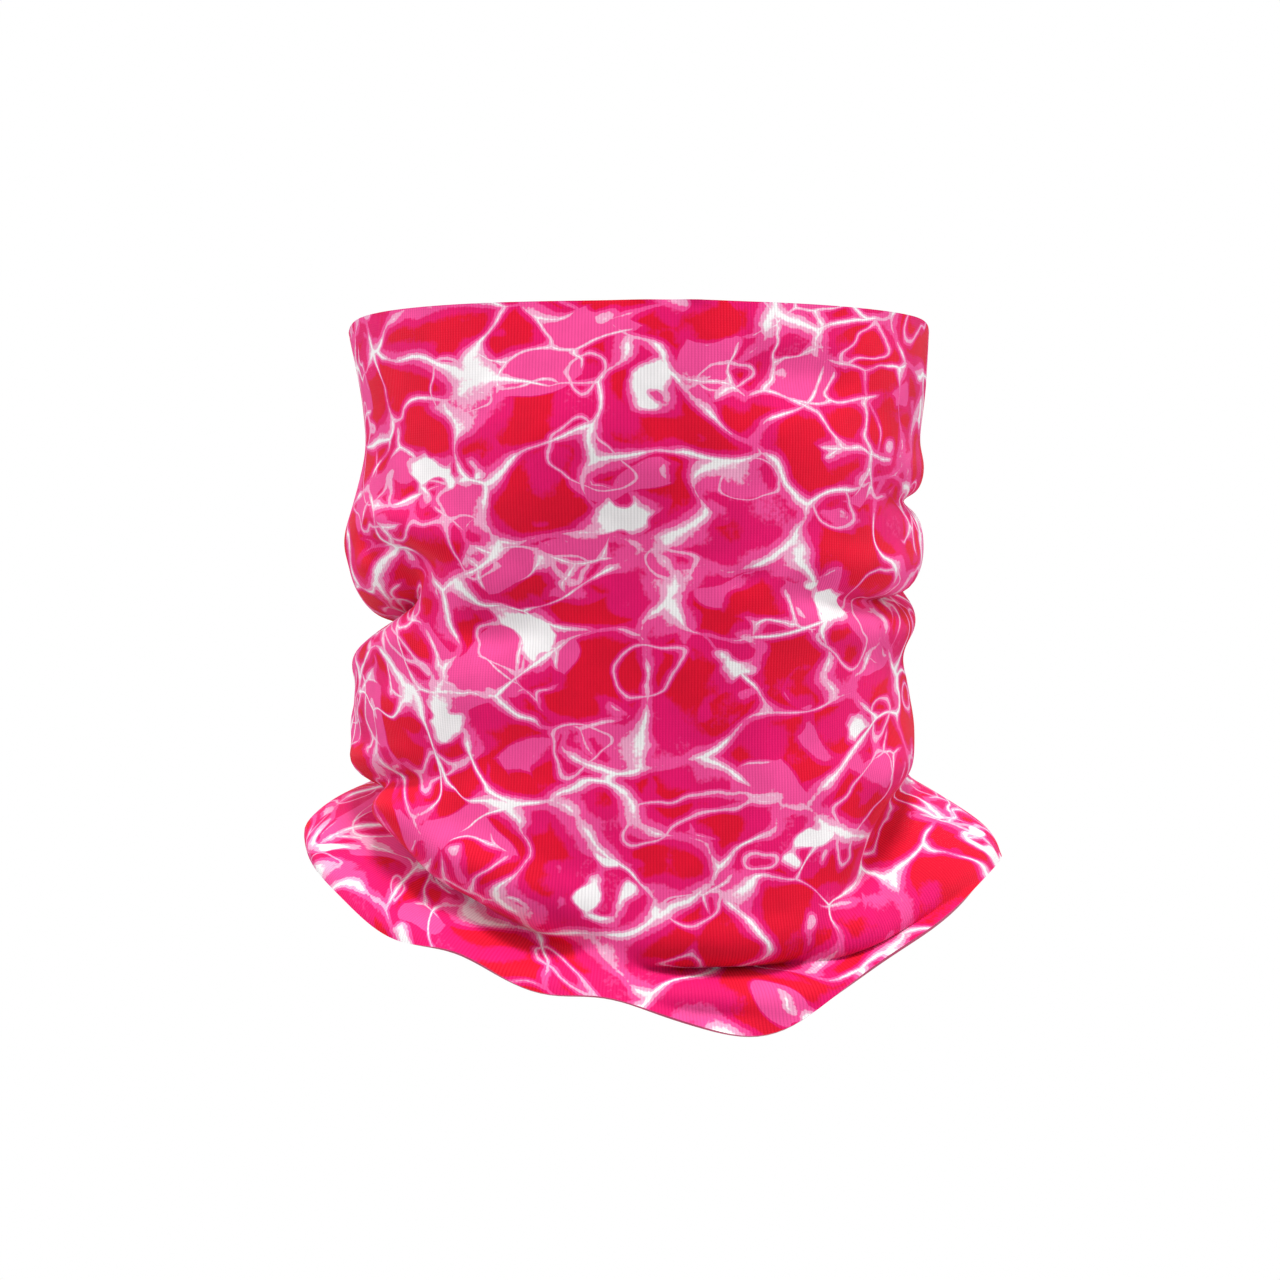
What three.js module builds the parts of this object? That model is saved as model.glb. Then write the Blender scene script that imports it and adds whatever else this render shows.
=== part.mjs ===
// A neck gaiter as it is worn: one printed knit panel joined into a tube by a flatlock seam down
// the back, with a woven care label hanging inside. Its top edge is pulled up over the nose, and
// its hem spreads over the shoulders to a point on the chest.
// Millimetres, +Z up, the face looks along -Y. The origin is the centre of the neck.
import * as THREE from "three";

// ---- Driving dimensions -------------------------------------------------------------------
const FABRIC = 1.0; // thickness of the knit
const RIM_Z = 83; // top edge above the neck's centre
const HALF_WIDTH = 76; // neck axis to the cloth at either side
const HALF_DEPTH = 84; // neck axis to the cloth at the front and back
const SECTION_POWER = 2.35; // 2 is an ellipse, more is squarer

const NOSE_OUT = 4; // how far the nose bridge tents the cloth
const NOSE_AZIMUTH = 5;
const NOSE_SPREAD = 8;
const NOSE_FADE_Z = 42; // the ridge has gone at this height

const HEM_SIDE_Z = -54.5; // hem on the shoulders
const HEM_TILT = 2.5; // lower on the wearer's left shoulder, higher on the right one
const HEM_FRONT_DROP = 35.5; // how much lower it hangs on the chest
const HEM_BACK_RISE = 6; // and how much higher on the upper back
const HEM_POINT = { azimuth: 19, spread: 13, drop: 9 };
const HEM_LIFT = { azimuth: -28, spread: 9, drop: -5 };

// Below its crease the hem spreads out over what it lies on: {out} mm within {height} mm.
const FLARE = {
  front: { out: 5, height: 12 },
  right: { out: 22, height: 20 },
  back: { out: 13, height: 16 },
  left: { out: 14, height: 20 },
};
const FLARE_ROUNDING = 0.85;

const THREAD = 0.6; // width and height of one sewing thread as laid
const GAP = 0.35; // between pieces that lie on each other
const COVER_GAP = 0.6; // under the cover thread, which spans the hollows between the needle rows
const NEEDLE_PITCH = 1.8; // between the four needle rows of the flatlock
const NEEDLE_ROWS = 4;

const LABEL = { width: 20, length: 26, thickness: 0.5, belowRim: 10 };

const COLUMNS = 64; // facets round the tube
const ROWS = 36; // facets down the tube

// How far the cloth stands outside (+) or inside (-) the plain section, in mm. Each row is a
// [height, offset] where the outline turns, and the outline eases from one to the next.
const OUTLINE = {
  front: [[83, 2], [50, 5], [20, 1], [-25, -1], [-70, 2]],
  right: [[83, 1], [58, -1], [22, -2], [-4, -5], [-30, -4.5]],
  back: [[83, -2], [45, -3], [8, -8], [-25, -7], [-45, -4]],
  left: [[83, 2.5], [52, -3], [24, 1], [-2, -0.5], [-26, 0], [-38, -1]],
};

// Creases run along hand-laid points of [azimuth in degrees from the front, height]. The cloth
// dips {depth} into each and swells on both sides over {width}; {hang} lets the upper side sag
// over the lower one.
const CREASES = [
  { path: [[-165, 22], [-128, 10], [-90, 4], [-62, 9], [-46, 10]], depth: 10, width: 6, hang: 3 },
  { path: [[-56, 26], [-46, 20], [-36, 22]], depth: 4, width: 6, hang: 0 },
  { path: [[140, 44], [112, 41], [88, 38], [62, 36], [36, 38]], depth: 4.5, width: 5, hang: 1.5 },
  { path: [[165, 6], [128, 12], [90, 11], [58, 9], [24, 12]], depth: 5, width: 5, hang: 2.5 },
  { path: [[150, -14], [120, -8], [96, -6], [76, -2]], depth: 4, width: 6, hang: 1 },
  { path: [[-178, 0], [-140, -14], [-112, -18], [-84, -12]], depth: 4, width: 6, hang: 1 },
  { path: [[-120, -30], [-90, -37], [-76, -45], [-60, -56], [-48, -66], [-22, -77], [-4, -80]], depth: 5.5, width: 5, hang: 3 },
  { path: [[-18, -75], [2, -78], [22, -82], [42, -78], [58, -71], [70, -66]], depth: 5, width: 4.5, hang: 2.5 },
  { path: [[128, -34], [90, -38], [68, -50], [50, -64], [40, -72]], depth: 4.5, width: 5, hang: 1 },
  { path: [[118, 26], [150, 22], [180, 24], [212, 22], [236, 30]], depth: 6, width: 6, hang: 2.5 },
  { path: [[140, -2], [168, 3], [196, 2], [226, -4]], depth: 6.5, width: 6, hang: 2.5 },
  { path: [[122, -20], [156, -19], [190, -22], [222, -18], [244, -26]], depth: 6, width: 6, hang: 2 },
  { path: [[14, 62], [30, 66], [48, 62]], depth: 2, width: 9, hang: 0 },
];
const CREASE_TAPER = 22; // a crease fades in and out over this length
const UNROLL = 80; // radius at which azimuth is laid out flat to measure along the cloth

// ---- Cloth surface ------------------------------------------------------------------------
const radians = THREE.MathUtils.degToRad;
const ease = (t) => THREE.MathUtils.smoothstep(t, 0, 1);
const bell = (x, spread) => Math.exp(-((x / spread) ** 2));
const valley = (x) => Math.exp(0.4 - Math.hypot(x, 0.4)); // a crease's section, 1 at its bottom
const wrapped = (degrees) => THREE.MathUtils.euclideanModulo(degrees + 180, 360) - 180;

// The offset of one outline at a height.
function offsetAt(outline, z) {
  if (z >= outline[0][0]) return outline[0][1];
  const below = outline.findIndex(([height]) => height < z);
  if (below < 0) return outline.at(-1)[1];
  const [[top, from], [bottom, to]] = [outline[below - 1], outline[below]];
  return THREE.MathUtils.lerp(from, to, ease((top - z) / (top - bottom)));
}

// A value that is known at the front, right, back and left, eased round to any azimuth.
function around(azimuth, value) {
  const [across, ahead] = [Math.sin(radians(azimuth)), Math.cos(radians(azimuth))];
  const side = across > 0 ? value("right") : value("left");
  const end = ahead > 0 ? value("front") : value("back");
  return side * across ** 2 + end * ahead ** 2;
}

function hemZ(azimuth) {
  const [across, ahead] = [Math.sin(radians(azimuth)), Math.cos(radians(azimuth))];
  const drop = (ahead > 0 ? HEM_FRONT_DROP : -HEM_BACK_RISE) * ahead ** 2;
  const bumps = [HEM_POINT, HEM_LIFT].map((b) => b.drop * bell(wrapped(azimuth - b.azimuth), b.spread));
  return HEM_SIDE_Z - HEM_TILT * across - drop - bumps[0] - bumps[1];
}

// Distance from a point of the unrolled cloth to a crease: {gap} is positive above the crease,
// {in} is how far the nearest point is from the crease's nearer end.
function nearCrease(crease, azimuth, z) {
  const middle = crease.path[Math.floor(crease.path.length / 2)][0];
  const flat = (degrees, height) =>
    new THREE.Vector2(radians(wrapped(degrees - middle)) * UNROLL, height);
  const points = crease.path.map(([degrees, height]) => flat(degrees, height));
  const at = flat(azimuth, z);
  const lengths = points.slice(1).map((p, i) => p.distanceTo(points[i]));
  const total = lengths.reduce((sum, l) => sum + l, 0);
  let best = { gap: Infinity, in: 0 };
  let along = 0;
  lengths.forEach((length, i) => {
    const step = points[i + 1].clone().sub(points[i]);
    const share = THREE.MathUtils.clamp(at.clone().sub(points[i]).dot(step) / length ** 2, 0, 1);
    const foot = points[i].clone().addScaledVector(step, share);
    const distance = at.distanceTo(foot);
    if (distance < Math.abs(best.gap)) {
      const reached = along + share * length;
      best = { gap: at.y >= foot.y ? distance : -distance, in: Math.min(reached, total - reached) };
    }
    along += length;
  });
  return best;
}

// What the creases do to the cloth at a point: how far out and how far up it moves.
function creased(azimuth, z) {
  let [out, up] = [0, 0];
  for (const crease of CREASES) {
    const near = nearCrease(crease, azimuth, z);
    const strength = ease(near.in / CREASE_TAPER);
    const away = Math.abs(near.gap) / crease.width;
    out += crease.depth * strength * (0.2 * bell(away - 2.4, 1.2) - valley(away));
    if (near.gap > 0) up -= crease.hang * strength * bell(away - 1.2, 0.8);
  }
  return { out, up };
}

// The cloth's outer surface: share 0 is the top edge and share 1 the hem.
function clothPoint(azimuth, share) {
  const [across, ahead] = [Math.sin(radians(azimuth)), Math.cos(radians(azimuth))];
  const hem = hemZ(azimuth);
  const z = THREE.MathUtils.lerp(RIM_Z, hem, share);
  const plain =
    (Math.abs(across / HALF_WIDTH) ** SECTION_POWER + Math.abs(ahead / HALF_DEPTH) ** SECTION_POWER) **
    (-1 / SECTION_POWER);
  const height = around(azimuth, (side) => FLARE[side].height);
  const spread = THREE.MathUtils.clamp(1 - (z - hem) / height, 0, 1);
  const flare =
    around(azimuth, (side) => FLARE[side].out) * Math.sin((spread * Math.PI) / 2) ** FLARE_ROUNDING;
  const nose = NOSE_OUT * bell(wrapped(azimuth - NOSE_AZIMUTH), NOSE_SPREAD) *
    ease((z - NOSE_FADE_Z) / (RIM_Z - NOSE_FADE_Z));
  // Folds keep off the two raw edges, which lie flat.
  const calm = Math.min(1, (RIM_Z - z) / 12, (z - hem) / 8);
  const fold = creased(azimuth, z);
  const radius = plain + around(azimuth, (side) => offsetAt(OUTLINE[side], z)) + flare + nose + fold.out * calm;
  return new THREE.Vector3(radius * across, -radius * ahead, z + fold.up * calm);
}

// ---- Meshes -------------------------------------------------------------------------------
// Column 0 is half a facet past the back's centre, so the seam runs down the middle of a facet.
const FACET = 360 / COLUMNS;
const outer = Array.from({ length: ROWS + 1 }, (_, row) =>
  Array.from({ length: COLUMNS }, (_, column) =>
    clothPoint(180 + (column + 0.5) * FACET, row / ROWS),
  ),
);

// The outward direction of the cloth at a grid point.
function outward(row, column) {
  const line = outer[row];
  const round = line[(column + 1) % COLUMNS].clone().sub(line[(column + COLUMNS - 1) % COLUMNS]);
  const down = outer[Math.min(row + 1, ROWS)][column].clone().sub(outer[Math.max(row - 1, 0)][column]);
  return down.cross(round).normalize();
}
const normals = outer.map((line, row) => line.map((_, column) => outward(row, column)));
const inner = outer.map((line, row) =>
  line.map((point, column) => point.clone().addScaledVector(normals[row][column], -FABRIC)),
);

function geometryOf(points, faces) {
  const geometry = new THREE.BufferGeometry();
  geometry.setAttribute(
    "position",
    new THREE.Float32BufferAttribute(points.flatMap((p) => [p.x, p.y, p.z]), 3),
  );
  geometry.setIndex(faces.flat());
  geometry.computeVertexNormals();
  return geometry;
}

// Two triangles over four corners that run anticlockwise seen from outside.
const quad = (a, b, c, d) => [a, b, c, a, c, d];

function knitTube() {
  const points = [...outer.flat(), ...inner.flat()];
  const under = (ROWS + 1) * COLUMNS;
  const faces = [];
  for (let column = 0; column < COLUMNS; column++) {
    const next = (column + 1) % COLUMNS;
    for (let row = 0; row < ROWS; row++) {
      const corners = [row * COLUMNS + column, (row + 1) * COLUMNS + column, (row + 1) * COLUMNS + next, row * COLUMNS + next];
      faces.push(quad(...corners), quad(...corners.map((i) => i + under).reverse()));
    }
    const hem = ROWS * COLUMNS;
    faces.push(quad(column, next, next + under, column + under));
    faces.push(quad(hem + next, hem + column, hem + column + under, hem + next + under));
  }
  return geometryOf(points, faces);
}

// Points down the back seam, {aside} mm to the wearer's left of its centre and {out} mm off the cloth.
function seamLine(surface, aside, out) {
  return surface.map((line, row) => {
    const [a, b] = [line[COLUMNS - 1], line[0]];
    const normal = normals[row][COLUMNS - 1].clone().add(normals[row][0]).normalize();
    const share = 0.5 + aside / a.distanceTo(b);
    return a.clone().lerp(b, share).addScaledVector(normal, out);
  });
}

// A bar of flat section that joins two lines of points: its near side and its far side.
function bar(nearLeft, nearRight, farRight, farLeft) {
  const rings = nearLeft.map((_, i) => [nearLeft[i], nearRight[i], farRight[i], farLeft[i]]);
  const faces = [];
  for (let ring = 0; ring < rings.length - 1; ring++) {
    for (let side = 0; side < 4; side++) {
      const [a, b] = [ring * 4 + side, ring * 4 + ((side + 1) % 4)];
      faces.push(quad(a, b, b + 4, a + 4));
    }
  }
  const last = (rings.length - 1) * 4;
  faces.push(quad(3, 2, 1, 0), quad(last, last + 1, last + 2, last + 3));
  return geometryOf(rings.flat(), faces);
}

// A thread laid on the cloth along the seam; {near} and {far} are its two faces, off the surface.
function seamBar(surface, aside, width, near, far) {
  const line = (sideways, out) => seamLine(surface, aside + sideways, out).slice(1, -1);
  const half = width / 2;
  return bar(line(-half, near), line(half, near), line(half, far), line(-half, far));
}

const needleAside = (row) => (row - (NEEDLE_ROWS - 1) / 2) * NEEDLE_PITCH;
const SEAM_WIDTH = NEEDLE_ROWS * NEEDLE_PITCH;

const needleThread = (row) => seamBar(outer, needleAside(row), THREAD, GAP, GAP + THREAD);

// The looper thread lies as a band on the inside and ties all the needle threads.
const looperThread = () => seamBar(inner, 0, SEAM_WIDTH, -GAP - THREAD, -GAP);

// The cover thread zigzags over the needle rows from one side of the seam to the other.
function coverThread() {
  const near = GAP + THREAD + COVER_GAP;
  const far = near + THREAD;
  const reach = SEAM_WIDTH / 2 - THREAD;
  const corners = [[-THREAD, near], [THREAD, near], [THREAD, far], [-THREAD, far]];
  const lines = corners.map(([sideways, out]) => {
    const [left, right] = [-reach, reach].map((aside) => seamLine(outer, aside + sideways, out));
    return left.map((point, row) => (row % 2 ? right[row] : point)).slice(1, -1);
  });
  return bar(...lines);
}

// The label hangs plumb inside the back, clear of the seam, by a row of tacking at its top edge.
const tackZ = RIM_Z - LABEL.belowRim;
const labelTopZ = tackZ - THREAD / 2 - GAP;
const OVER_SEAM = 2 * GAP + THREAD; // from the cloth's inside to whatever lies over the looper thread

function innerBackY(z) {
  const line = seamLine(inner, 0, 0);
  const row = line.findIndex((point) => point.z < z);
  const [above, below] = [line[row - 1], line[row]];
  return THREE.MathUtils.lerp(above.y, below.y, (above.z - z) / (above.z - below.z));
}
const labelShares = [0, 0.25, 0.5, 0.75, 1];
const labelBackY =
  Math.min(innerBackY(tackZ), ...labelShares.map((share) => innerBackY(labelTopZ - share * LABEL.length))) -
  OVER_SEAM;

// A box with its back face at a depth and its middle at a height.
const boxBefore = (backY, width, depth, height, z) =>
  new THREE.BoxGeometry(width, depth, height).translate(0, backY - depth / 2, z);
const careLabel = () =>
  boxBefore(labelBackY, LABEL.width, LABEL.thickness, LABEL.length, labelTopZ - LABEL.length / 2);

function labelTack() {
  const backY = innerBackY(tackZ) - OVER_SEAM;
  return boxBefore(backY, LABEL.width - 2, backY - labelBackY + LABEL.thickness, THREAD, tackZ);
}

// ---- Assembly -----------------------------------------------------------------------------
const cloth = new THREE.MeshStandardMaterial({ color: "#e01b5d", roughness: 0.75, metalness: 0 });
const thread = new THREE.MeshStandardMaterial({ color: "#d8105a", roughness: 0.6, metalness: 0 });
const satin = new THREE.MeshStandardMaterial({ color: "#f4f2ee", roughness: 0.45, metalness: 0 });

const gaiter = new THREE.Group();
function add(name, geometry, material) {
  const mesh = new THREE.Mesh(geometry, material);
  mesh.name = name;
  gaiter.add(mesh);
}

add("knit_tube", knitTube(), cloth);
for (let row = 0; row < NEEDLE_ROWS; row++) {
  add(`seam_needle_thread_${row + 1}`, needleThread(row), thread);
}
add("seam_cover_thread", coverThread(), thread);
add("seam_looper_thread", looperThread(), thread);
add("label_tack_thread", labelTack(), thread);
add("care_label", careLabel(), satin);

export default gaiter;
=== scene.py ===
"""A neck gaiter as it is worn: a tube of printed knit with its top edge over the nose and its hem
spread over the shoulders, closed by a flatlock seam down the back, with a satin care label inside.
Metres in the scene, and millimetres in the tables below. The face looks along -Y."""

import math

import bpy
import numpy as np
from mathutils import Matrix, Vector


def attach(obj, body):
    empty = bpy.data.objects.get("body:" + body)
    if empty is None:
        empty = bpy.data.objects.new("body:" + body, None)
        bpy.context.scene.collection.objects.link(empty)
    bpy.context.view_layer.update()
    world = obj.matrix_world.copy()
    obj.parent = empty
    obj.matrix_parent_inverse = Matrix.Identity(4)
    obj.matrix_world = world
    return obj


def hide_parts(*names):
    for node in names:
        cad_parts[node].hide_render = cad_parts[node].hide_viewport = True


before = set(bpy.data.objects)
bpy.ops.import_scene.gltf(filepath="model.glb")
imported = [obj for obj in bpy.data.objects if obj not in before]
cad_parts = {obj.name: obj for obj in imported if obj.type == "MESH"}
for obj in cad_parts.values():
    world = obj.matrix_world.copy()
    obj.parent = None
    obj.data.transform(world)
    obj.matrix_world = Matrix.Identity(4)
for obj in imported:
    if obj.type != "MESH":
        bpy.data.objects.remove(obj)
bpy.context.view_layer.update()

MM = 0.001

# ---- The cloth ----------------------------------------------------------------------------
PANEL_ROUND = 490  # the cut panel, closed into a tube
FABRIC = 0.8
RIM_Z = 83
HALF_WIDTH, HALF_DEPTH = 76, 84
SECTION_POWER = 2.35
COLUMNS, ROWS, SMOOTHING = 264, 160, 4

# (height, how far the cloth stands off the plain section) at four sides of the neck. Left and
# right are as seen from the front, and an azimuth grows from the front towards the right.
OUTLINE = {
    "front": [(83, 2), (50, 5), (20, 1), (-25, -1), (-70, 2)],
    "right": [
        *[(83, 0.5), (66, 0), (52, -2), (38, -1.5), (24, -2), (8, -2.5)],
        *[(2, -4.5), (-5, -6), (-14, -4.5), (-28, -3.5), (-35, 0.5), (-42, -3.5)],
    ],
    "back": [(83, -2), (52, -4), (20, -7), (-25, -7), (-45, -4)],
    "left": [
        *[(83, 2), (66, -1), (50, -3), (36, 0.5), (26, 3.5), (20, 1.5), (13, -4.5)],
        *[(8, -7), (4, -3.5), (-4, -1.5), (-18, 0.5), (-26, -2.8), (-30, -5), (-34, -7)],
        *[(-38.5, -1.5), (-42, -5)],
    ],
}
# The hem's height at the sides, how much lower it is at the right, how far it drops to the chest
# and how far it rises to the nape. Then where it departs from that: azimuth, spread and drop.
HEM_SIDES, HEM_TILT, HEM_TO_CHEST, HEM_TO_NAPE = -54.5, 2.5, 35.5, 6
HEM_DROPS = [(19, 13, 9), (-28, 9, -5), (-6, 8, -3.2), (62, 12, -1.5), (-45, 16, 0.6)]
HEM_DROPS += [(-64, 12, 1.5)]
RIM_DROPS = [(84, 13, 3), (-82, 13, 1.8)]  # the same for the top edge
# The nose pushes the cloth out: azimuth, spread, how far, and the height where that begins. A
# soft dent runs down beside its bridge: spread, depth, and the height where it begins.
NOSE_AT, NOSE_SPREAD, NOSE_OUT, NOSE_FROM = 5, 8, 4, 42
DENT_SPREAD, DENT_DEPTH, DENT_FROM = 3.2, 2, 40
# How far the hem spreads out over the shoulders, and over what height.
FLARE = {"front": (5, 12), "right": (22, 20), "back": (13, 16), "left": (17, 15)}

# Creases: points of (azimuth from the front, height, strength), then the depth they reach, how
# wide the cloth rolls into them, and how far the upper roll hangs over the lower one.
CHEEK_CREASES = [
    # the deep pinch at the left, from the nape round to its dimple
    (
        [(-168, 20, 0.3), (-130, 10, 0.7), (-95, 4, 1), (-76, 4.5, 1), (-60, 8, 1)]
        + [(-48, 12, 0.9), (-41, 19, 0)],
        *(9, 5.5, 3),
    ),
    ([(-62, 27, 0), (-54, 23, 1), (-46, 23, 1), (-38, 18, 0.5), (-34, 14, 0)], 6, 4.5, 1.5),
    ([(-57, 14, 0), (-50, 19, 1), (-44, 14, 0)], 4.5, 2.5, 0),
    ([(-128, -6, 0), (-108, -12, 0.7), (-92, -14, 0.3), (-78, -12, 0)], 4, 5, 1.5),
    (
        [(-118, -28, 0), (-96, -35, 0.8), (-80, -36.5, 1), (-62, -36, 1), (-50, -35, 0.8)]
        + [(-39, -35, 0)],
        *(8.5, 3.5, 1),
    ),
    # the pinches at the right
    ([(150, 48, 0), (118, 42, 0.8), (90, 38, 1), (66, 36, 0.6), (40, 37, 0)], 6, 5, 3),
    (
        [(165, 6, 0.2), (128, 12, 0.8), (92, 15, 0.3), (78, 14, 0.6), (62, 11, 1), (46, 10, 0.7)]
        + [(22, 12, 0)],
        *(9, 5, 4),
    ),
    ([(120, -1, 0), (102, -3, 0.8), (88, -4, 1), (76, -4, 0.5), (66, -3, 0)], 3.5, 4, 1),
    ([(112, -26, 0), (96, -30, 0.8), (84, -33, 0.6), (74, -34, 0)], 3.5, 4, 1.5),
]
HEM_CREASES = [
    # where the hem folds out over the shoulders and the chest
    (
        [(-120, -30, 0.2), (-100, -33, 0.5), (-84, -37.5, 0.9), (-66, -45, 1), (-47, -56, 1)]
        + [(-40, -62, 1), (-31, -66, 0.8), (-20, -73, 0.7), (-12, -76.5, 0.3), (-4, -79, 0)],
        *(17, 6.5, 4.5),
    ),
    ([(-80, -46, 0), (-66, -53, 0.8), (-55, -60.5, 1), (-46, -66, 0.8), (-38, -69, 0)], 4, 4, 1),
    ([(-30, -70, 0), (-24, -76, 0.5), (-14, -80, 0.4), (-4, -82, 0)], 2.5, 3, 1),
    (
        [(-6, -81, 0), (6, -80.5, 0.9), (16, -80, 1), (24, -80, 1), (34, -79, 0.9), (44, -74, 0.9)]
        + [(52, -69.5, 0.7), (60, -65.5, 0.3), (68, -62, 0)],
        *(8, 4, 4),
    ),
    ([(-2, -88, 0), (4, -89.5, 0.8), (12, -91, 0.7), (19, -91.5, 0)], 3, 2.5, 2),
    (
        [(128, -30, 0.3), (100, -34, 0.45), (80, -36.5, 0.6), (68, -40.5, 0.8), (58, -45, 0.9)]
        + [(50, -54, 0.9), (44, -63, 0.6), (40, -70, 0)],
        *(7, 9, 0),
    ),
]
NAPE_CREASES = [
    # where the length of the cloth gathers behind the neck
    ([(118, 30, 0), (150, 27, 1), (180, 30, 1), (205, 28, 0.7), (230, 36, 0)], 7, 5.5, 3),
    ([(128, 10, 0), (155, 14, 0.8), (185, 13, 1), (212, 8, 0.8), (240, -6, 0)], 8, 5.5, 3.5),
    ([(125, -10, 0), (150, -6, 0.8), (178, -4, 1), (205, -8, 1), (228, -14, 0)], 8, 5.5, 3.5),
    (
        [(118, -18, 0), (150, -23, 0.9), (182, -21, 1), (210, -24, 0.9), (236, -30, 0.4)]
        + [(246, -32, 0)],
        *(7.5, 5, 3),
    ),
    ([(200, 56, 0), (216, 50, 0.8), (244, 44, 0)], 4.5, 6, 1.5),
]
FACE_WAVES = [
    ([(12, 63, 0), (26, 66, 1), (42, 63, 0)], 2.5, 8, 0),
    ([(-38, 3, 0), (-28, 1, 1), (-14, 3, 0)], 3.5, 7, 0),
    ([(14, 12, 0), (19, 15, 1), (23, 19, 0)], 1.4, 2.5, 0),
]
SEAM_WIDTH, SEAM_RIDGE, PUCKER = 5.4, 0.4, 6.3
ROUND = 0.3  # how blunt the bottom of a crease is, as a share of its width
UNROLL = 80  # azimuth is laid out flat at this radius to measure along the cloth


def bell(x):
    return np.exp(-(x**2))


def ease(x):
    x = np.clip(x, 0, 1)
    return x * x * (3 - 2 * x)


def smoothed(values, reach):
    """Values along a line, blurred over a number of places on each side."""
    kernel = bell(np.arange(-2 * reach, 2 * reach + 1) / reach)
    padded = np.pad(values, 2 * reach, mode="edge")
    return np.convolve(padded, kernel / kernel.sum(), mode="valid")


def along_outline(side, z):
    heights = np.arange(-130, 110, 0.5)
    stations = sorted(OUTLINE[side])
    values = np.interp(heights, [s[0] for s in stations], [s[1] for s in stations])
    return np.interp(z, heights, smoothed(values, 9))


SIDES = "right", "left", "front", "back"


def around(azimuth, right, left, front, back):
    """Values known at four sides, eased round to any azimuth."""
    across, ahead = np.sin(azimuth), np.cos(azimuth)
    side = np.where(across > 0, right, left)
    end = np.where(ahead > 0, front, back)
    return side * across**2 + end * ahead**2


def wrapped(degrees):
    return (degrees + 180) % 360 - 180


def dropped(degrees, drops):
    return sum(drop * bell(wrapped(degrees - at) / spread) for at, spread, drop in drops)


def hem_height(azimuth):
    across, ahead = np.sin(azimuth), np.cos(azimuth)
    to_end = np.where(ahead > 0, HEM_TO_CHEST, -HEM_TO_NAPE)
    plain = HEM_SIDES - HEM_TILT * across - to_end * ahead**2
    ripple = 0.5 * np.sin(5 * azimuth + 1) + 0.3 * np.sin(11 * azimuth)
    return plain - dropped(np.degrees(azimuth), HEM_DROPS) + ripple


def rim_height(azimuth):
    return RIM_Z - dropped(np.degrees(azimuth), RIM_DROPS)


def dense(path):
    """A crease's points, closer together and rounded off."""
    path = np.array(path, float)
    steps = np.linspace(0, len(path) - 1, 24 * (len(path) - 1) + 1)
    fine = np.stack([np.interp(steps, np.arange(len(path)), path[:, i]) for i in range(3)], 1)
    return np.stack([smoothed(fine[:, i], 8) for i in range(3)], 1)


def crease_moves(degrees, z):
    """How far the creases move the cloth: out, round the neck, and up. The roll above a crease
    slides over it, at right angles to it, and hangs over the roll below."""
    out, along, up = np.zeros_like(z), np.zeros_like(z), np.zeros_like(z)
    for path, depth, width, hang in CHEEK_CREASES + HEM_CREASES + NAPE_CREASES + FACE_WAVES:
        points = dense(path)
        middle = points[len(points) // 2, 0]
        x = np.radians(wrapped(degrees - middle)) * UNROLL
        px, pz = np.radians(points[:, 0] - middle) * UNROLL, points[:, 1]
        gaps = np.hypot(x[..., None] - px, z[..., None] - pz)
        nearest = gaps.argmin(-1)
        away = gaps.min(-1) / width
        step_x, step_z = np.gradient(px), np.gradient(pz)
        size = np.hypot(step_x, step_z) * np.sign(step_x)
        over_x, over_z = (-step_z / size)[nearest], (step_x / size)[nearest]
        above = over_x * (x - px[nearest]) + over_z * (z - pz[nearest]) > 0
        strength = points[nearest, 2]
        roll = np.where(above, 0.28, 0.2) * bell((away - 1.7) / 0.9)
        valley = np.exp(1.5 * (ROUND**1.4 - np.hypot(away, ROUND) ** 1.4))
        out += depth * strength * (roll - valley)
        slide = hang * strength * bell((away - 1) / 0.75) * np.where(above, -1, 0.3)
        along += slide * over_x
        up += slide * over_z
    return out, along, up


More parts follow.
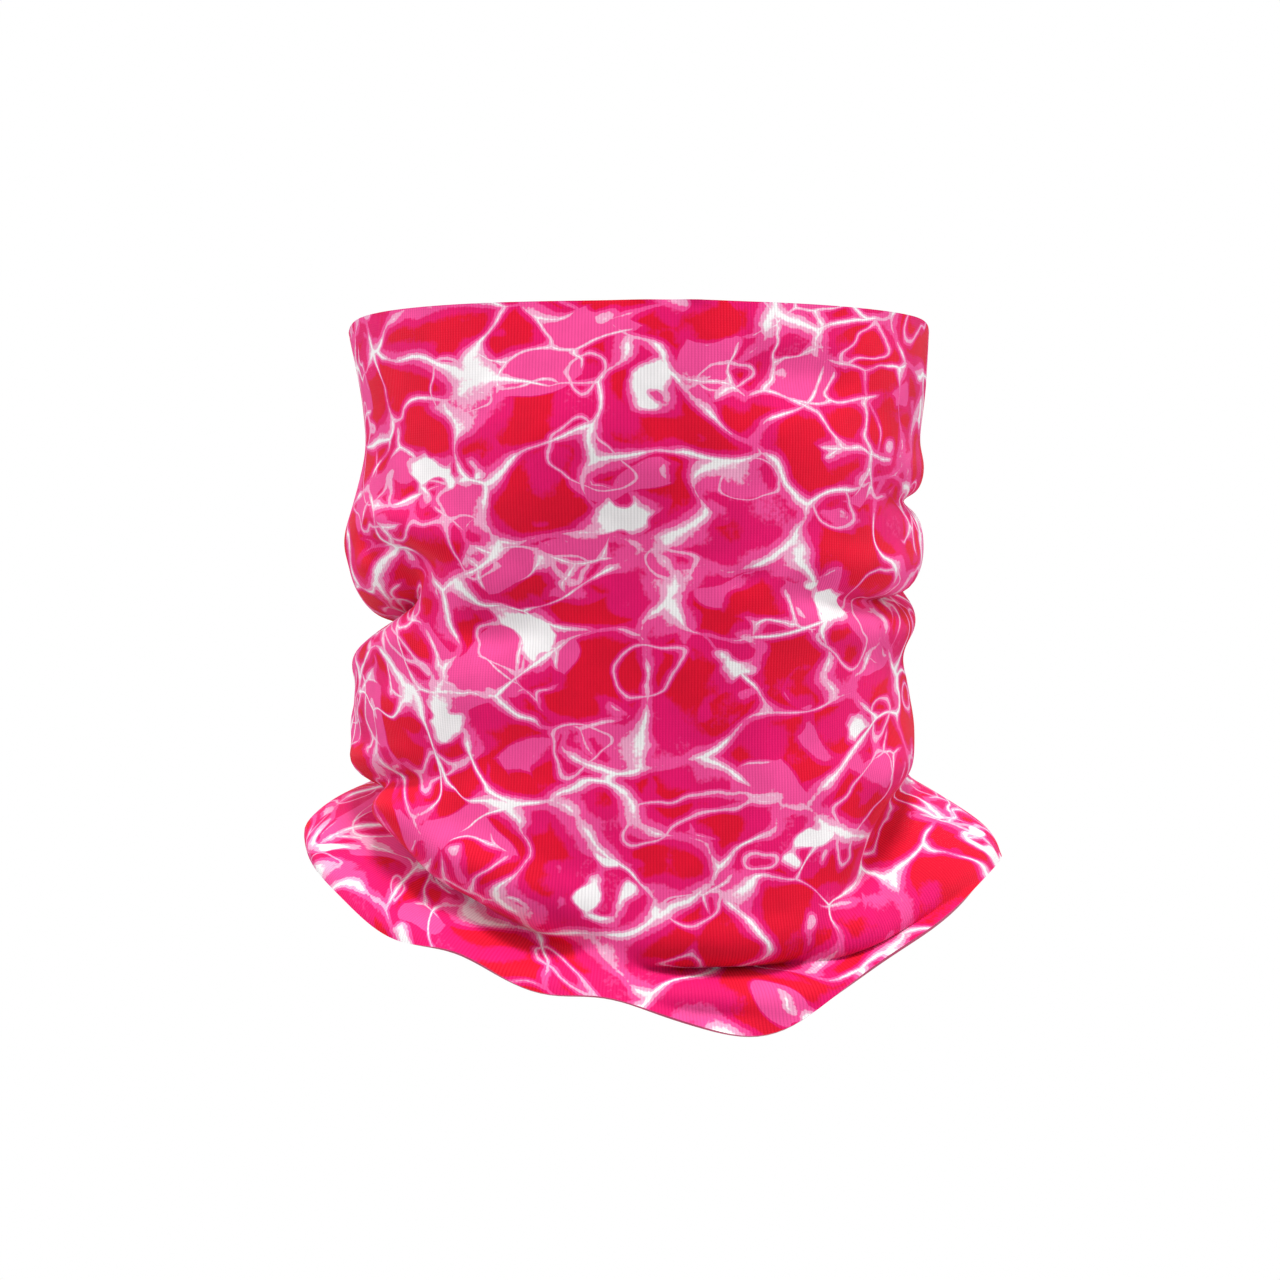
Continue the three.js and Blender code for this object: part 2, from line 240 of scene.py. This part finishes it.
def cloth_points(azimuth, share):
    """Points of the cloth's outer face, in metres: share 0 is its top edge and share 1 its hem."""
    degrees = np.degrees(azimuth)
    rim, hem = rim_height(azimuth), hem_height(azimuth)
    z = rim + (hem - rim) * share
    out, along, up = crease_moves(degrees, z)
    calm = np.clip(np.minimum((rim - z) / 12, (z - hem) / 2.5), 0, 1)
    azimuth = azimuth + along * calm / UNROLL
    across, ahead = np.sin(azimuth), np.cos(azimuth)
    section = np.abs(across / HALF_WIDTH) ** SECTION_POWER
    section += np.abs(ahead / HALF_DEPTH) ** SECTION_POWER
    plain = section ** (-1 / SECTION_POWER)
    offset = around(azimuth, *(along_outline(side, z) for side in SIDES))
    flare_out = around(azimuth, *(FLARE[side][0] for side in SIDES))
    flare_over = around(azimuth, *(FLARE[side][1] for side in SIDES))
    spread = np.clip(1 - (z - hem) / flare_over, 0, 1)
    flare = flare_out * np.sin(spread * math.pi / 2) ** 0.95
    rise = ease((z - NOSE_FROM) / (RIM_Z - NOSE_FROM))
    from_dent = wrapped(degrees - 2 - 2.7 * rise) / DENT_SPREAD
    dent = DENT_DEPTH * bell(from_dent) * ease((z - DENT_FROM) / 14)
    nose = NOSE_OUT * bell(wrapped(degrees - NOSE_AT) / NOSE_SPREAD) * rise - dent
    curl = 1.1 * np.clip(1 - (z - hem) / 3.5, 0, 1) ** 2
    wander = 0.5 * np.sin(3 * azimuth + z / 21) + 0.35 * np.sin(7 * azimuth - z / 13)
    from_seam = np.abs(wrapped(degrees - 180)) * math.radians(1) * HALF_DEPTH
    pucker = 0.3 * np.sin(z * 2 * math.pi / PUCKER + 1.5 * np.sin(z / 9)) * bell(from_seam / 7)
    ridge = SEAM_RIDGE * np.clip((SEAM_WIDTH / 2 + 2 - from_seam) / 2, 0, 1)
    radius = plain + offset + flare + nose + curl + out * calm + wander + pucker + ridge
    return np.stack([radius * across, -radius * ahead, z + up * calm], -1) * MM


def select_only(*objects):
    bpy.ops.object.select_all(action="DESELECT")
    for o in objects:
        o.select_set(True)
    bpy.context.view_layer.objects.active = objects[0]


def new_mesh_object(name, points, faces):
    mesh = bpy.data.meshes.new(name)
    mesh.from_pydata(points.tolist(), [], faces)
    mesh.validate()
    o = bpy.data.objects.new(name, mesh)
    bpy.context.scene.collection.objects.link(o)
    return o


def cloth_grid():
    """Rows of points from the top edge to the hem, with column 0 down the back seam."""
    azimuth = np.radians(180 + np.arange(COLUMNS) * 360 / COLUMNS)
    points = cloth_points(*np.meshgrid(azimuth, np.linspace(0, 1, ROWS + 1)))
    for _ in range(SMOOTHING):
        beside = (np.roll(points, 1, axis=1) + np.roll(points, -1, axis=1)) / 2
        points[1:-1] = (points[1:-1] * 2 + points[:-2] + points[2:]) / 8 + beside[1:-1] / 2
    return points


def knit_sheet():
    """The panel closed on itself, one face thick, with its flat lay in a UV map in metres."""
    points = cloth_grid()
    steps = np.linalg.norm(np.diff(points, axis=0), axis=-1)
    down = np.vstack([np.zeros(COLUMNS), np.cumsum(steps, 0)])
    faces, uvs = [], []
    for row in range(ROWS):
        for column in range(COLUMNS):
            after = (column + 1) % COLUMNS
            corners = [(row, column), (row + 1, column), (row + 1, after), (row, after)]
            faces.append([r * COLUMNS + c for r, c in corners])
            edges = np.array([column, column, column + 1, column + 1]) / COLUMNS
            uvs += [(edge * PANEL_ROUND * MM, -down[at]) for edge, at in zip(edges, corners)]
    sheet = new_mesh_object("knit_tube_cloth", points.reshape(-1, 3), faces)
    layer = sheet.data.uv_layers.new(name="panel")
    layer.data.foreach_set("uv", np.array(uvs, np.float32).ravel())
    return sheet


# ---- The flatlock seam, the tacking and the label --------------------------------------------
THREAD = 0.42
NEEDLE_ROWS, NEEDLE_PITCH, STITCH = 4, 1.8, 2.1  # across the seam, and the length of one stitch
LABEL_WIDTH, LABEL_LONG, LABEL_THICK = 20, 26, 0.4
LABEL_TOP, LABEL_Y = 72.3, 78.45
TACK_PITCH = 2.25


def model_stitch(length, rise):
    """One stitch of thread, standing on its two ends along Y and arching up by {rise}, in mm."""
    radius = (length**2 / 4 + rise**2) / (2 * rise)
    turn = 2 * math.asin(length / 2 / radius)
    bpy.ops.object.select_all(action="DESELECT")
    bpy.ops.mesh.primitive_circle_add(
        vertices=6, radius=THREAD / 2, fill_type="NGON", rotation=(math.pi / 2, 0, 0)
    )
    stitch = bpy.context.object
    bpy.ops.object.transform_apply(location=True, rotation=True, scale=True)
    bpy.ops.object.mode_set(mode="EDIT")
    bpy.ops.mesh.select_all(action="SELECT")
    # back by half the turn, so that the spin ends as far on the other side
    bpy.ops.transform.rotate(value=-turn / 2, orient_axis="X", center_override=(0, 0, -radius))
    bpy.ops.mesh.spin(steps=5, angle=turn, center=(0, 0, -radius), axis=(1, 0, 0))
    bpy.ops.mesh.select_all(action="SELECT")
    bpy.ops.transform.translate(value=(0, 0, rise))
    bpy.ops.mesh.remove_doubles(threshold=0.001)
    bpy.ops.mesh.normals_make_consistent(inside=False)
    bpy.ops.object.mode_set(mode="OBJECT")
    return stitch


def seam_course(cloth, aside, out):
    """A line down the seam, {aside} to the wearer's left of its middle and {out} off the cloth's
    outer face, in metres: its points and the directions to the left, down and outwards there."""
    left = cloth[:, -1] - cloth[:, 1]
    left /= np.linalg.norm(left, axis=1, keepdims=True)
    down = np.gradient(cloth[:, 0], axis=0)
    down -= left * (down * left).sum(1, keepdims=True)
    down /= np.linalg.norm(down, axis=1, keepdims=True)
    outwards = np.cross(left, down)
    return cloth[:, 0] + left * aside + outwards * out, left, down, outwards


def along_course(course, step, skip=0.0):
    """Frames at even steps down a course, as 4 x 4 matrices of metres per mm."""
    points = course[0]
    lengths = np.concatenate([[0], np.cumsum(np.linalg.norm(np.diff(points, axis=0), axis=1))])
    stops = np.arange(step / 2 + skip, lengths[-1] - step / 4, step)
    at_stops = [
        np.stack([np.interp(stops, lengths, part[:, i]) for i in range(3)], 1) for part in course
    ]
    for place, left, down, outwards in zip(*at_stops):
        axes = np.stack([left, down, outwards], 1) * MM
        yield Matrix([[*row, at] for row, at in zip(axes, place)] + [[0, 0, 0, 1]])


def lay_stitches(name, stitch, places):
    """Copies of one stitch at each place, joined into one thread."""
    copies = []
    for place in places:
        copy = stitch.copy()
        copy.data = stitch.data.copy()
        copy.data.transform(place)
        bpy.context.scene.collection.objects.link(copy)
        copies.append(copy)
    select_only(*copies)
    bpy.ops.object.join()
    thread = bpy.context.object
    thread.name = name
    bpy.ops.object.shade_smooth()
    bpy.data.objects.remove(stitch)
    return thread


def sew_flatlock(cloth):
    """Four needle rows and a zigzag over them outside, and a zigzag that ties them inside."""
    threads = []
    for row in range(NEEDLE_ROWS):
        aside = (row - (NEEDLE_ROWS - 1) / 2) * NEEDLE_PITCH * MM
        places = along_course(seam_course(cloth, aside, 0), STITCH * MM)
        made = lay_stitches(f"needle_stitches_{row + 1}", model_stitch(STITCH * 1.05, 0.34), places)
        threads.append((made, f"seam_needle_thread_{row + 1}"))
    reach = (NEEDLE_ROWS - 1) * NEEDLE_PITCH
    slant = math.atan2(STITCH / 2, reach)
    span = math.hypot(STITCH / 2, reach)
    inwards = Matrix.Rotation(math.pi, 4, "Y")
    for name, out, rise, node, turned in (
        ("cover_stitches", 0.28 * MM, 0.3, "seam_cover_thread", Matrix()),
        ("looper_stitches", -FABRIC * MM, 0.25, "seam_looper_thread", inwards),
    ):
        course = seam_course(cloth, 0, out)
        places = []
        for half, side in ((0, 1), (STITCH / 2, -1)):
            lean = Matrix.Rotation(math.pi / 2 + side * slant, 4, "Z")
            stops = along_course(course, STITCH * MM, half * MM)
            places += [place @ turned @ lean for place in stops]
        threads.append((lay_stitches(name, model_stitch(span, rise), places), node))
    return threads


def tack_label():
    """Upright stitches over the label's top edge, which hold it to the cloth behind it."""
    places = []
    for i in range(8):
        x = (i - 3.5) * TACK_PITCH
        at = Matrix.Translation(Vector((x, LABEL_Y - 0.1, LABEL_TOP + 0.5)) * MM)
        upright = Matrix.Rotation(math.pi / 2, 4, "X")
        lean = Matrix.Rotation(math.radians(12 * (-1) ** i), 4, "Z")
        places.append(at @ upright @ lean @ Matrix.Scale(MM, 4))
    return lay_stitches("label_tacking", model_stitch(2.4, 0.5), places)


def make_label():
    """A woven ribbon, heat-cut at its ends, with rounded selvedges and a slight bow."""
    bpy.ops.object.select_all(action="DESELECT")
    bpy.ops.mesh.primitive_grid_add(x_subdivisions=20, y_subdivisions=26, size=MM)
    label = bpy.context.object
    label.rotation_euler.x = math.pi / 2
    label.name = "care_label_ribbon"
    label.scale = (LABEL_WIDTH, LABEL_LONG, 1)
    label.location = Vector((0, LABEL_Y - LABEL_THICK / 2, LABEL_TOP - LABEL_LONG / 2)) * MM
    bpy.ops.object.transform_apply(location=True, rotation=True, scale=True)
    for vertex in label.data.vertices:
        share = (LABEL_TOP * MM - vertex.co.z) / (LABEL_LONG * MM)
        bow = math.sin(share * math.pi / 2) ** 2 * bell(vertex.co.x / (14 * MM))
        vertex.co.y -= 1.2 * MM * bow
    bpy.ops.object.modifier_add(type="SOLIDIFY")
    label.modifiers[-1].thickness = LABEL_THICK * MM
    label.modifiers[-1].offset = 0
    bpy.ops.object.modifier_apply(modifier=label.modifiers[-1].name)
    bpy.ops.object.modifier_add(type="BEVEL")
    label.modifiers[-1].width = 0.12 * MM
    label.modifiers[-1].segments = 2
    bpy.ops.object.modifier_apply(modifier=label.modifiers[-1].name)
    bpy.ops.object.shade_smooth_by_angle(angle=math.radians(40))
    return label


# ---- Materials ----------------------------------------------------------------------------
class Look:
    """A material's node tree, built up by short calls that return sockets."""

    def __init__(self, name):
        self.material = bpy.data.materials.new(name)
        self.material.use_nodes = True
        self.tree = self.material.node_tree
        self.tree.nodes.clear()

    def node(self, kind, inputs=None, **settings):
        made = self.tree.nodes.new(kind)
        for key, value in settings.items():
            setattr(made, key, value)
        for key, value in (inputs or {}).items():
            if isinstance(value, bpy.types.NodeSocket):
                self.tree.links.new(value, made.inputs[key])
            else:
                made.inputs[key].default_value = value
        return made

    def maths(self, operation, *values):
        return self.node("ShaderNodeMath", dict(enumerate(values)), operation=operation).outputs[0]

    def vector(self, operation, *values, scale=None):
        inputs = dict(enumerate(values))
        if scale is not None:
            inputs["Scale"] = scale
        return self.node("ShaderNodeVectorMath", inputs, operation=operation).outputs[0]

    def between(self, value, low, high, to_low=0.0, to_high=1.0, smooth=True):
        kind = "SMOOTHSTEP" if smooth else "LINEAR"
        inputs = {0: value, 1: low, 2: high, 3: to_low, 4: to_high}
        return self.node("ShaderNodeMapRange", inputs, interpolation_type=kind).outputs[0]

    def noise(self, place, size, detail=1.0, seed=0.0):
        inputs = {"Vector": place, "W": seed, "Scale": 1 / size, "Detail": detail, "Roughness": 0.5}
        return self.node("ShaderNodeTexNoise", inputs, noise_dimensions="4D")

    def voronoi(self, place, size, feature, randomness=1.0):
        inputs = {"Vector": place, "Scale": 1 / size, "Randomness": randomness}
        return self.node("ShaderNodeTexVoronoi", inputs, feature=feature, voronoi_dimensions="2D")

    def mix(self, factor, a, b, blend="MIX"):
        inputs = {0: factor, 6: a, 7: b}
        return self.node("ShaderNodeMix", inputs, data_type="RGBA", blend_type=blend).outputs[2]

    def bump(self, height, strength, distance):
        inputs = {"Strength": strength, "Distance": distance, "Height": height}
        return self.node("ShaderNodeBump", inputs).outputs[0]

    def ramp(self, value, stops):
        made = self.node("ShaderNodeValToRGB", {0: value})
        ramp = made.color_ramp
        while len(ramp.elements) < len(stops):
            ramp.elements.new(0.5)
        for element, (place, colour) in zip(ramp.elements, stops):
            element.position = place
            element.color = (*colour, 1)
        return made.outputs[0]

    def surface(self, inputs):
        shader = self.node("ShaderNodeBsdfPrincipled", inputs)
        self.node("ShaderNodeOutputMaterial", {0: shader.outputs[0]})
        return self.material


RED = (0.74, 0.002, 0.028)
MAGENTA = (0.77, 0.004, 0.14)
PINK = (0.86, 0.07, 0.3)
PALE = (0.86, 0.36, 0.56)
WHITE = (0.9, 0.87, 0.88)
BIG_CELL, SMALL_CELL = 24.0, 13.0  # the print's two sizes of ripple
RIB, LOOP = 0.72, 0.6  # the knit's ribs, across, and its stitches, down


def panel_place(look):
    """Where a point lies on the flat panel, in millimetres."""
    uv = look.node("ShaderNodeUVMap", uv_map="panel").outputs[0]
    return look.vector("SCALE", uv, scale=1000.0)


def warped_place(look, place, size, amount, seed):
    wobble = look.noise(place, size, 1.0, seed).outputs[1]
    centred = look.vector("SUBTRACT", wobble, (0.5, 0.5, 0.5))
    return look.vector("ADD", place, look.vector("SCALE", centred, scale=amount))


def cell_edge(look, place, cell, scatter):
    """How close a point is to the line between two cells: 1 on it, less towards a cell's middle."""
    near = look.voronoi(place, cell, "F1", scatter).outputs[0]
    far = look.voronoi(place, cell, "F2", scatter).outputs[0]
    return look.maths("DIVIDE", near, far)


def ripple_print(look, place):
    """Sunlight rippling through shallow water, in reds and pinks."""
    turned = look.node(
        "ShaderNodeMapping", {"Vector": place, "Rotation": (0, 0, 0.2), "Scale": (0.9, 1.15, 1)}
    ).outputs[0]
    wide = warped_place(look, turned, 34, 36, 1.7)
    wide = warped_place(look, wide, 14, 11, 4.1)
    close = warped_place(look, turned, 20, 24, 8.3)
    close = warped_place(look, close, 9, 6, 2.9)
    swell = look.noise(turned, 19, 1.0, 6.2).outputs[0]
    low = look.between(swell, 0.40, 0.72, 0.70, -0.1)
    above_low = look.maths("SUBTRACT", cell_edge(look, wide, BIG_CELL, 0.95), low)
    fade = look.between(look.noise(turned, 13, 1.0, 31.0).outputs[0], 0.34, 0.58, 0.7, 1.0)
    big = look.maths("DIVIDE", above_low, look.maths("SUBTRACT", 1.0, low))
    big = look.maths("MULTIPLY", big, fade)
    busy = look.between(look.noise(turned, 27, 1.0, 11.0).outputs[0], 0.46, 0.60)
    small = cell_edge(look, close, SMALL_CELL, 1.0)
    small = look.between(small, 0.35, 1.0, 0.0, 0.92, smooth=False)
    small = look.maths("MULTIPLY", small, busy)
    cells = look.voronoi(close, SMALL_CELL, "F1").outputs[1]
    pick = look.node("ShaderNodeSeparateColor", {0: cells}).outputs[0]
    flat_pink = look.maths("MULTIPLY", look.between(pick, 0.68, 0.69), look.between(busy, 0.2, 0.5))
    swirl = look.noise(warped_place(look, turned, 11, 9, 5.5), 17, 0.0, 21.0).outputs[0]
    from_ring = look.maths("ABSOLUTE", look.maths("SUBTRACT", swirl, 0.65))
    ring = look.between(from_ring, 0.0, 0.06, 0.86, 0.0, smooth=False)
    foam = look.noise(warped_place(look, turned, 9, 8, 7.5), 21, 0.0, 37.0).outputs[0]
    foam = look.between(foam, 0.59, 0.73, 0.0, 1.0, smooth=False)
    blobs = look.between(look.noise(turned, 7, 0.0, 41.0).outputs[0], 0.48, 0.60, 1.0, 0.5)
    foam = look.maths("MULTIPLY", foam, blobs)
    base = look.between(look.noise(turned, 20, 1.5, 17.0).outputs[0], 0.45, 0.68, 0.0, 0.5)
    light = look.maths("MAXIMUM", look.maths("MAXIMUM", big, small), base)
    light = look.maths("MAXIMUM", light, look.maths("MULTIPLY", flat_pink, 0.64))
    light = look.maths("MAXIMUM", look.maths("MAXIMUM", light, ring), foam)
    grain = look.between(look.noise(place, 0.9, 1.0, 51.0).outputs[0], 0.3, 0.7, -0.03, 0.03)
    light = look.maths("ADD", light, grain)
    stops = [(0, RED), (0.22, RED), (0.33, MAGENTA), (0.5, MAGENTA), (0.57, PINK)]
    stops += [(0.71, PINK), (0.76, PALE), (0.85, PALE), (0.93, WHITE), (1, WHITE)]
    return look.ramp(light, stops)


def knit_height(look, place):
    """The relief of a fine jersey: upright ribs of leaning stitches."""
    parts = look.node("ShaderNodeSeparateXYZ", {0: place})
    across = look.maths("MULTIPLY", parts.outputs[0], 2 * math.pi / RIB)
    lean = look.maths("MULTIPLY", look.maths("SINE", across), 0.9)
    down = look.maths("ADD", look.maths("MULTIPLY", parts.outputs[1], 2 * math.pi / LOOP), lean)
    rib = look.maths("COSINE", across)
    stitch = look.maths("MULTIPLY", look.maths("COSINE", down), 0.3)
    return rib, look.maths("ADD", rib, stitch)


def cloth_look(name, ghost):
    """The knit from its printed side, or from its pale side where the print only shows through."""
    look = Look(name)
    place = panel_place(look)
    colour = ripple_print(look, place)
    if ghost:
        colour = look.mix(0.78, colour, (0.86, 0.74, 0.79, 1))
    rib, relief = knit_height(look, place)
    # The grooves between the ribs are painted darker: painted shade in the knit's grooves, on top
    # of the bump. It is multiplied with the knit's own random, uneven tone.
    groove_painted_shade = look.between(rib, -1.0, 0.2, 0.85, 1.0)
    uneven = look.between(look.noise(place, 9, 3.0, 23.0).outputs[0], 0.3, 0.7, 0.93, 1.05)
    shade = look.maths("MULTIPLY", groove_painted_shade, uneven)
    grey = look.node("ShaderNodeCombineColor", {0: shade, 1: shade, 2: shade}).outputs[0]
    colour = look.mix(1.0, colour, grey, "MULTIPLY")
    bump = look.bump(relief, 0.35, 0.0001)
    rough = look.between(rib, -1.0, 1.0, 0.8, 0.62)
    return look.surface(
        {
            "Base Color": colour,
            "Roughness": rough,
            "Specular IOR Level": 0.12,
            "Sheen Weight": 0.08,
            "Sheen Roughness": 0.4,
            "Sheen Tint": (1.0, 0.55, 0.7, 1),
            "Normal": bump,
        }
    )


def cut_edge_look():
    look = Look("cut_edge_fibres_painted_shade")
    place = panel_place(look)
    fibres = look.noise(place, 0.5, 2.0, 3.0).outputs[0]
    # The cut edges' colour is painted darker than the cloth: painted shade along the edges, over a
    # real fibrous texture.
    colour = look.mix(fibres, (0.36, 0.004, 0.06, 1), (0.6, 0.05, 0.18, 1))
    bump = look.bump(fibres, 0.5, 0.0001)
    return look.surface(
        {"Base Color": colour, "Roughness": 0.85, "Sheen Weight": 0.3, "Normal": bump}
    )


def thread_look():
    """Textured polyester thread: matt, softly fibrous and a little lighter in places."""
    look = Look("seam_thread")
    place = look.node("ShaderNodeTexCoord").outputs["Object"]
    fine = look.vector("SCALE", place, scale=1000.0)
    fibres = look.noise(fine, 0.16, 2.0, 5.0).outputs[0]
    batch = look.noise(fine, 6, 1.0, 9.0).outputs[0]
    colour = look.mix(fibres, (0.55, 0.012, 0.12, 1), (0.8, 0.06, 0.27, 1))
    colour = look.mix(look.between(batch, 0.4, 0.6, 0.0, 0.25), colour, (0.82, 0.16, 0.36, 1))
    bump = look.bump(fibres, 0.5, 0.00005)
    return look.surface(
        {"Base Color": colour, "Roughness": 0.6, "Sheen Weight": 0.3, "Normal": bump}
    )


def label_look():
    """White satin ribbon: fine weft lines, a slightly denser selvedge down each side."""
    look = Look("label_satin_weave")
    place = look.node("ShaderNodeTexCoord").outputs["Object"]
    parts = look.node("ShaderNodeSeparateXYZ", {0: look.vector("SCALE", place, scale=1000.0)})
    across, up = parts.outputs[0], parts.outputs[2]
    weft = look.maths("SINE", look.maths("MULTIPLY", up, 2 * math.pi / 0.3))
    aslant = look.maths("ADD", across, look.maths("MULTIPLY", up, 0.5))
    slip = look.maths("MULTIPLY", aslant, 2 * math.pi / 0.5)
    weave = look.maths("ADD", weft, look.maths("MULTIPLY", look.maths("SINE", slip), 0.5))
    selvedge = look.between(look.maths("ABSOLUTE", across), 8.7, 8.9)
    fine = look.noise(place, 0.004, 2.0, 4.0).outputs[0]
    colour = look.mix(fine, (0.8, 0.79, 0.78, 1), (0.9, 0.89, 0.88, 1))
    colour = look.mix(look.maths("MULTIPLY", selvedge, 0.35), colour, (0.62, 0.6, 0.6, 1))
    bump = look.bump(weave, 0.3, 0.00006)
    rough = look.between(weave, -1.5, 1.5, 0.5, 0.34)
    return look.surface(
        {"Base Color": colour, "Roughness": rough, "Sheen Weight": 0.15, "Normal": bump}
    )


# ---- Build --------------------------------------------------------------------------------
CAMERA_AWAY, LENS = 0.95, 99.5
FLOOR_Z = -0.45


def camera_and_light():
    bpy.ops.object.camera_add(location=(0, -CAMERA_AWAY, 0), rotation=(math.pi / 2, 0, 0))
    camera = bpy.context.object
    camera.data.lens = LENS
    camera.data.sensor_width = 36
    bpy.context.scene.camera = camera
    bpy.context.scene.view_settings.view_transform = "Standard"
    lamps = [
        ("left_softbox", (-0.75, -0.1, 0.45), 0.5, 4.4),
        ("right_softbox", (0.75, -0.1, 0.25), 0.5, 2.8),
        ("top_softbox", (0.05, -0.45, 1.0), 0.35, 12),
        ("back_softbox", (0, 0.9, 0.5), 0.5, 2),
    ]
    for name, place, size, power in lamps:
        towards = Vector(place).to_track_quat("Z", "Y").to_euler()
        bpy.ops.object.light_add(type="AREA", location=place, rotation=towards)
        lamp = bpy.context.object
        lamp.name = name
        lamp.data.size = size
        lamp.data.energy = power
    world = bpy.data.worlds.new("studio")
    world.use_nodes = True
    tree = world.node_tree
    soft, white = tree.nodes["Background"], tree.nodes.new("ShaderNodeBackground")
    soft.inputs["Strength"].default_value = 0.4
    soft.inputs["Color"].default_value = white.inputs["Color"].default_value = (1, 1, 1, 1)
    seen, both = tree.nodes.new("ShaderNodeLightPath"), tree.nodes.new("ShaderNodeMixShader")
    tree.links.new(seen.outputs["Is Camera Ray"], both.inputs[0])
    tree.links.new(soft.outputs[0], both.inputs[1])
    tree.links.new(white.outputs[0], both.inputs[2])
    tree.links.new(both.outputs[0], tree.nodes["World Output"].inputs[0])
    bpy.context.scene.world = world


def pale_floor():
    middle = (0, 0, FLOOR_Z)
    bpy.ops.mesh.primitive_circle_add(vertices=96, radius=0.8, fill_type="NGON", location=middle)
    floor = bpy.context.object
    floor.name = "pale_floor"
    look = Look("pale_paper")
    grain = look.noise(look.node("ShaderNodeTexCoord").outputs["Object"], 0.2, 2.0).outputs[0]
    colour = look.mix(grain, (0.9, 0.9, 0.9, 1), (0.93, 0.93, 0.93, 1))
    floor.data.materials.append(look.surface({"Base Color": colour, "Roughness": 0.9}))


def make_tube():
    sheet = knit_sheet()
    looks = cloth_look("printed_knit", False), cloth_look("knit_inside", True), cut_edge_look()
    # thickening gives the inside and the cut edges the second and third look, so all go on first
    for look in looks:
        sheet.data.materials.append(look)
    select_only(sheet)
    bpy.ops.object.modifier_add(type="SOLIDIFY")
    thick = sheet.modifiers[-1]
    thick.thickness = FABRIC * MM
    thick.offset = -1
    thick.material_offset = 1
    thick.material_offset_rim = 2
    bpy.ops.object.modifier_apply(modifier=thick.name)
    bpy.ops.object.shade_smooth_by_angle(angle=math.radians(60))
    return sheet


camera_and_light()
pale_floor()

tube = make_tube()
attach(tube, "tube")
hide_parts("knit_tube")

seam_thread = thread_look()
threads = sew_flatlock(cloth_grid()) + [(tack_label(), "label_tack_thread")]
for thread, node in threads:
    thread.data.materials.append(seam_thread)
    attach(thread, "tube")
    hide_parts(node)

label = make_label()
label.data.materials.append(label_look())
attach(label, "label")
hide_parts("care_label")
